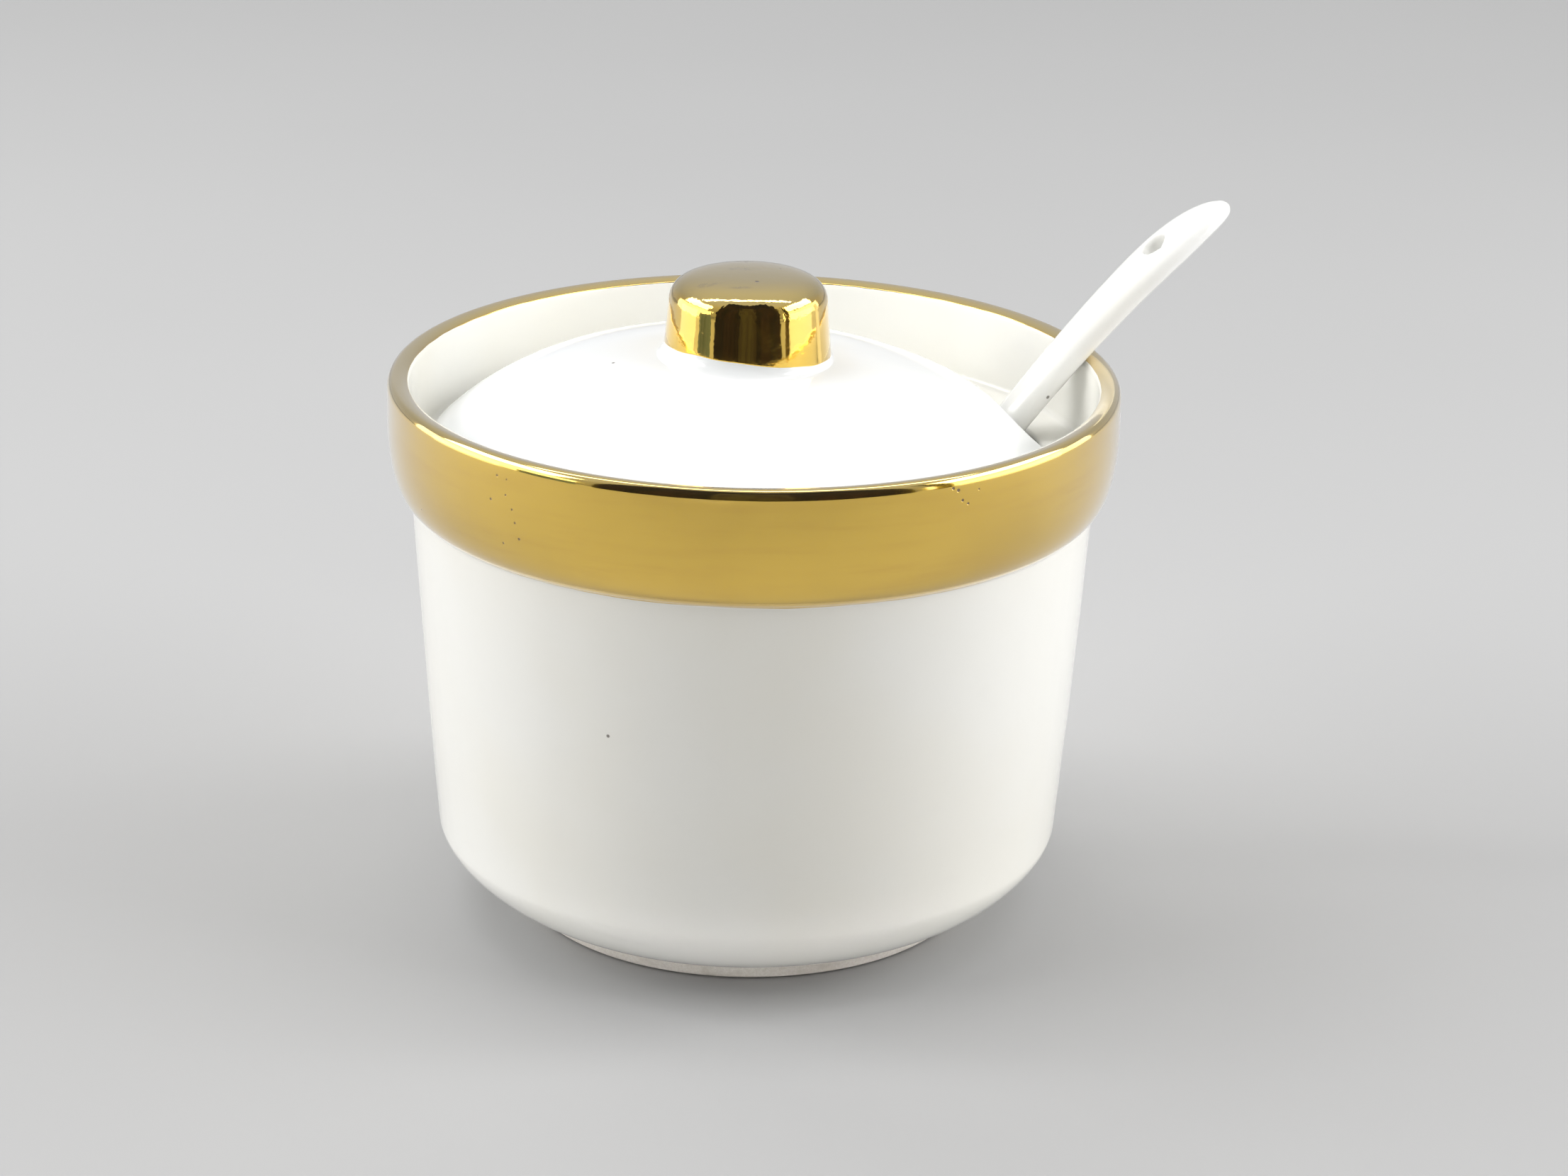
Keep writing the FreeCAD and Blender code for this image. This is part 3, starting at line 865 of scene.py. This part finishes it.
def bowl_ring(half_length, half_width, up, count=96):
    """An oval around the bowl's middle."""
    angles = [tau * index / count for index in range(count)]
    return [spoon_place(half_length * cos(angle), half_width * sin(angle), up) for angle in angles]


def make_bowl(material):
    """An oval bowl: outside from its bottom up to the rim, then the inside down again."""
    steps, rim_steps = 24, 6
    rim_rise = 0.75
    length, width, depth = bowl_axes
    hollow_length, hollow_width, hollow_depth = (axis - bowl_wall for axis in bowl_axes)
    rings = []
    for step in range(1, steps + 1):
        tilt = pi / 2 * (1 - step / steps)
        rings.append(bowl_ring(length * cos(tilt), width * cos(tilt), -depth * sin(tilt)))
    for step in range(1, rim_steps + 1):
        turn = pi * step / rim_steps
        shrink = bowl_wall * (1 - cos(turn)) / 2
        rings.append(bowl_ring(length - shrink, width - shrink, rim_rise * sin(turn)))
    for step in range(1, steps):
        tilt = pi / 2 * step / steps
        level = -hollow_depth * sin(tilt)
        rings.append(bowl_ring(hollow_length * cos(tilt), hollow_width * cos(tilt), level))
    caps = (spoon_place(0, 0, -depth), spoon_place(0, 0, -hollow_depth))
    return new_object("bowl_part", *skin(rings, *caps), material)


def handle_spine():
    """Points along the handle's centre line: straight from inside the bowl's rim, then arched."""
    start_from_middle = 17.6
    start = bowl_middle - shaft_normal * bowl_rise + shaft_along * start_from_middle
    line = [start.lerp(shaft_top, index / shaft_steps) for index in range(shaft_steps)]
    return line + bezier(handle_poles, 160)


def squared_circle(turn):
    """A point of a unit circle, drawn out a little towards its diagonals."""
    fullness = 0.92
    x = abs(cos(turn)) ** fullness * (1 if cos(turn) > 0 else -1)
    y = abs(sin(turn)) ** fullness * (1 if sin(turn) > 0 else -1)
    return x, y


def make_handle(material):
    """The handle as one closed skin, with the place and direction of its hole."""
    count = 48
    smallest = 0.05                        # the skin closes this near to the tip
    root_length, root_dip, root_thinness = 9.0, 1.1, 0.62
    spine = handle_spine()
    marks = [0.0]
    for a, b in zip(spine, spine[1:]):
        marks.append(marks[-1] + (b - a).length)
    total = marks[-1]
    curve_length = total - marks[shaft_steps]
    widest_from_tip = 0.3 * curve_length
    straight_half_width = handle_half_width * handle_narrowest
    rings = []
    for index, (centre, mark) in enumerate(zip(spine, marks)):
        from_tip = total - mark
        if from_tip < smallest:
            continue
        before, after = spine[max(0, index - 1)], spine[min(len(spine) - 1, index + 1)]
        along = (after - before).normalized()
        normal = Vector((-along.z, 0, along.x))
        taper = 1.0
        if from_tip < tip_length:
            taper = sqrt(max(0.0, 1 - (1 - from_tip / tip_length) ** 2))
        share = min(1.0, max(0.0, (curve_length - from_tip) / (curve_length - widest_from_tip)))
        widening = handle_narrowest + (1 - handle_narrowest) * share ** 1.4
        half_width = handle_half_width * widening * taper
        if index < shaft_steps:
            half_width = neck_half_width + (straight_half_width - neck_half_width) * index / shaft_steps
        from_bowl = min(1.0, mark / root_length)
        thinned = root_thinness + (1 - root_thinness) * from_bowl
        half_thickness = handle_half_thickness * taper ** 0.7 * thinned
        centre = centre - normal * (root_dip * (1 - from_bowl) ** 2)
        ring = []
        for step in range(count):
            x, y = squared_circle(tau * step / count)
            ring.append(centre + Vector((0, half_width * x, 0)) + normal * (half_thickness * y))
        rings.append(ring)
    handle = new_object("handle_part", *skin(rings, spine[0], spine[-1]), material)
    hole_mark = total - hole_from_tip
    index = min(range(len(marks)), key=lambda i: abs(marks[i] - hole_mark))
    along = (spine[index + 1] - spine[index - 1]).normalized()
    return handle, spine[index], Vector((-along.z, 0, along.x))


def make_hole_cutter(centre, normal, material):
    """A round bar through the handle."""
    count = 40
    reach = 6.0
    across = Vector((0, 1, 0))
    along = across.cross(normal)
    angles = [tau * index / count for index in range(count)]
    circle = [(across * cos(angle) + along * sin(angle)) * hole_radius for angle in angles]
    rings = []
    for height in (-reach, -reach / 2, 0.0, reach / 2, reach):
        rings.append([centre + normal * height + offset for offset in circle])
    caps = (centre - normal * reach, centre + normal * reach)
    return new_object("hole_cutter", *skin(rings, *caps), material)


def evaluated_mesh(piece):
    """A new mesh of the piece with its modifiers applied."""
    graph = bpy.context.evaluated_depsgraph_get()
    graph.update()
    return bpy.data.meshes.new_from_object(piece.evaluated_get(graph))


def drop(*pieces):
    """Removes pieces that were only needed on the way."""
    for piece in pieces:
        bpy.data.objects.remove(piece, do_unlink=True)


def make_spoon():
    """Bowl and pierced handle fused into one skin, and set at the spoon's azimuth."""
    voxel = 0.38
    specks = [(42.67, 7.92, 74.13, 0.36)]      # low on the handle's flank
    # Painted light: the spoon's glaze is lighter than the pot's, brightening the handle where it faces
    # the dark screens.
    spoon_glaze = glaze("porcelain_glaze_spoon", (0.90, 0.90, 0.875), specks)
    bowl = make_bowl(spoon_glaze)
    handle, hole_centre, hole_normal = make_handle(spoon_glaze)
    cutter = make_hole_cutter(hole_centre, hole_normal, spoon_glaze)
    cut = handle.modifiers.new("hole", "BOOLEAN")
    cut.operation = "DIFFERENCE"
    cut.object = cutter
    cut.solver = "EXACT"
    pierced = evaluated_mesh(handle)
    joined = bmesh.new()
    joined.from_mesh(bowl.data)
    joined.from_mesh(pierced)
    mesh = bpy.data.meshes.new("spoon_casting")
    joined.to_mesh(mesh)
    joined.free()
    drop(bowl, handle, cutter)
    spoon = bpy.data.objects.new("spoon_casting", mesh)
    bpy.context.scene.collection.objects.link(spoon)
    remesh = spoon.modifiers.new("fuse", "REMESH")
    remesh.mode = "VOXEL"
    remesh.voxel_size = voxel * MM
    smooth = spoon.modifiers.new("glaze_softening", "SMOOTH")
    smooth.factor = 0.5
    smooth.iterations = 12
    final = evaluated_mesh(spoon)
    spoon.modifiers.clear()
    spoon.data = final
    final.transform(Matrix.Rotation(spoon_azimuth, 4, "Z") @ Matrix.Translation(spoon_lift * MM))
    final.materials.clear()
    final.materials.append(spoon_glaze)
    final.shade_smooth()
    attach(spoon, "spoon")
    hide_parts("spoon")


# -------------------------------- studio
# Lights and camera are placed in metres, floor and screens in millimetres.
def look_from(piece, position, target):
    """Puts a light at a position and turns it to its target."""
    piece.location = position
    direction = Vector(target) - Vector(position)
    piece.rotation_euler = direction.to_track_quat("-Z", "Y").to_euler()


def make_camera():
    """From the front and above, with a slight roll and a long lens."""
    place = (0, -0.50482, 0.23713)
    yaw, pitch, roll = 0.0096, 0.3606, 0.0215
    data = bpy.data.cameras.new("camera")
    data.sensor_width = 36.0
    data.lens = 84.95
    data.clip_start = 0.01
    data.clip_end = 50.0
    camera = bpy.data.objects.new("camera", data)
    bpy.context.scene.collection.objects.link(camera)
    forward = Vector((sin(yaw) * cos(pitch), cos(yaw) * cos(pitch), -sin(pitch)))
    right = Vector((cos(yaw), -sin(yaw), 0))
    up = right.cross(forward)
    rolled_right = right * cos(roll) + up * sin(roll)
    rolled_up = up * cos(roll) - right * sin(roll)
    turn = Matrix((rolled_right, rolled_up, -forward)).transposed().to_4x4()
    camera.matrix_world = Matrix.Translation(place) @ turn
    bpy.context.scene.camera = camera


def softbox(name, position, target, width, height, power, colour=(1, 1, 1)):
    """A rectangular light, itself seen only in reflections."""
    data = bpy.data.lights.new(name, "AREA")
    data.shape = "RECTANGLE"
    data.size = width
    data.size_y = height
    data.energy = power
    data.color = colour
    light = bpy.data.objects.new(name, data)
    bpy.context.scene.collection.objects.link(light)
    look_from(light, position, target)
    light.visible_camera = False
    return light


def fill(name, position, target, width, height, power, spread=180.0):
    """A softbox that reflections don't show either, with its spread in degrees."""
    light = softbox(name, position, target, width, height, power)
    light.data.spread = radians(spread)
    light.visible_glossy = False
    return light


def make_floor():
    """A wide round sheet of grey paper, just under the foot ring."""
    segments = 64
    below_foot = 0.2
    light_grey, dark_grey = (0.448, 0.448, 0.448), (0.440, 0.440, 0.440)
    angles = [tau * index / segments for index in range(segments)]
    rings = []
    for radius in (150, 400, 900, 2000, 4500, 9000):
        rings.append([Vector((radius * cos(angle), radius * sin(angle), 0)) for angle in angles])
    nodes = Nodes("studio_floor")
    paper = nodes.noise(240.0, 2.0)
    colour = nodes.mix(nodes.ramp(paper, 0.3, 0.7), light_grey, dark_grey)
    nodes.set(Base_Color=colour, Roughness=0.9, Specular_IOR_Level=0.1)
    floor = new_object("studio_floor", *skin(rings, Vector((0, 0, 0))), nodes.material)
    floor.location.z = -below_foot * MM


def make_screen(name, low_azimuth, high_azimuth, height, distance, colour, streak):
    """An upright curved card that only shows in the gold's reflections; azimuth 0 is the front."""
    columns = 24
    nodes = Nodes(name)
    bars = nodes.noise(60.0, 2.0, 0.6, nodes.stretched((1.0, 1.0, 0.1)))
    nodes.set(Base_Color=nodes.mix(nodes.ramp(bars, 0.4, 0.65), colour, streak), Roughness=0.9)
    points, faces = [], []
    for index in range(columns + 1):
        angle = radians(low_azimuth + (high_azimuth - low_azimuth) * index / columns)
        for z in (0.0, height):
            points.append(Vector((distance * sin(angle), -distance * cos(angle), z)))
    for index in range(columns):
        low = index * 2
        faces.append((low, low + 2, low + 3, low + 1))
    card = new_object(name, points, faces, nodes.material)
    card.visible_camera = False
    card.visible_shadow = False


def make_screens():
    """The dark room in front of the gold, with a paler middle and a card at each side."""
    black, brown = (0.003, 0.0014, 0.001), (0.020, 0.008, 0.006)
    olive, umber = (0.055, 0.050, 0.030), (0.030, 0.022, 0.014)
    pale_blue, slate = (0.20, 0.27, 0.33), (0.09, 0.12, 0.13)
    amber = (0.12, 0.08, 0.03)
    make_screen("screen_front", -46.0, 47.5, 1500.0, 570.0, black, brown)
    make_screen("screen_middle", -11.0, 12.0, 700.0, 555.0, olive, umber)
    make_screen("screen_left", -71.0, -51.0, 120.0, 560.0, pale_blue, slate)
    make_screen("screen_right", 54.0, 60.0, 560.0, 560.0, amber, black)


def make_lights():
    """Large boxes at both sides and above; fills that only lift the glaze and the floor."""
    cool = (0.97, 0.99, 1.2)
    for side, name in ((-1, "left"), (1, "right")):
        softbox(name + "_low_box", (side * 0.80, -0.07, 0.17), (0, -0.07, 0.17), 1.1, 0.34, 2.35)
        softbox(name + "_high_box", (side * 0.80, -0.07, 0.56), (0, -0.04, 0.10), 0.80, 0.34, 4.7)
    softbox("left_near_box", (-0.45, 0.02, 0.075), (0, 0.02, 0.075), 0.25, 0.15, 0.080, cool)
    softbox("right_near_box", (0.45, -0.08, 0.075), (0, -0.08, 0.075), 0.34, 0.15, 0.110, cool)
    softbox("overhead_box", (0.0, 0.04, 0.95), (0, 0.04, 0.0), 1.5, 0.12, 3.1)
    fill("back_key", (-0.38, 0.48, 0.90), (0, 0, 0.03), 0.45, 0.45, 1.62)
    fill("low_front_fill", (0.0, -0.45, 0.025), (0, 0, 0.025), 0.80, 0.04, 0.22)
    fill("lid_fill", (0.0, -0.48, 0.36), (0.01, 0, 0.088), 0.10, 0.10, 0.005, spread=22.0)
    fill("foot_fill", (0.0, -0.20, 0.006), (0, 0, 0.002), 0.24, 0.008, 0.0028, spread=12.0)
    fill("spoon_fill", (0.24, -0.42, 0.30), (0.062, 0, 0.086), 0.06, 0.06, 0.0032, spread=14.0)
    fill("far_floor_fill", (0.15, 0.95, 0.35), (0.15, 0.951, 0.0), 1.6, 0.2, 0.85)


def make_world():
    """White surroundings, brighter overhead than at the horizon."""
    world = bpy.data.worlds.new("studio")
    bpy.context.scene.world = world
    world.use_nodes = True
    tree = world.node_tree
    background = tree.nodes["Background"]
    background.inputs[0].default_value = (1.0, 1.0, 1.0, 1)
    direction = tree.nodes.new("ShaderNodeTexCoord")
    split = tree.nodes.new("ShaderNodeSeparateXYZ")
    rise = tree.nodes.new("ShaderNodeMapRange")
    rise.interpolation_type = "SMOOTHSTEP"
    limits = {"From Min": 0.3, "From Max": 0.9, "To Min": 0.45, "To Max": 0.68}
    for socket, number in limits.items():
        rise.inputs[socket].default_value = number
    tree.links.new(direction.outputs["Generated"], split.inputs[0])
    tree.links.new(split.outputs[2], rise.inputs["Value"])
    tree.links.new(rise.outputs[0], background.inputs[1])


def make_studio():
    make_camera()
    make_floor()
    make_screens()
    make_world()
    make_lights()
    view = bpy.context.scene.view_settings
    view.view_transform = "Standard"
    view.look = "None"
    view.exposure = 0.0
    view.gamma = 1.0


make_pot()
make_lid()
make_spoon()
make_studio()
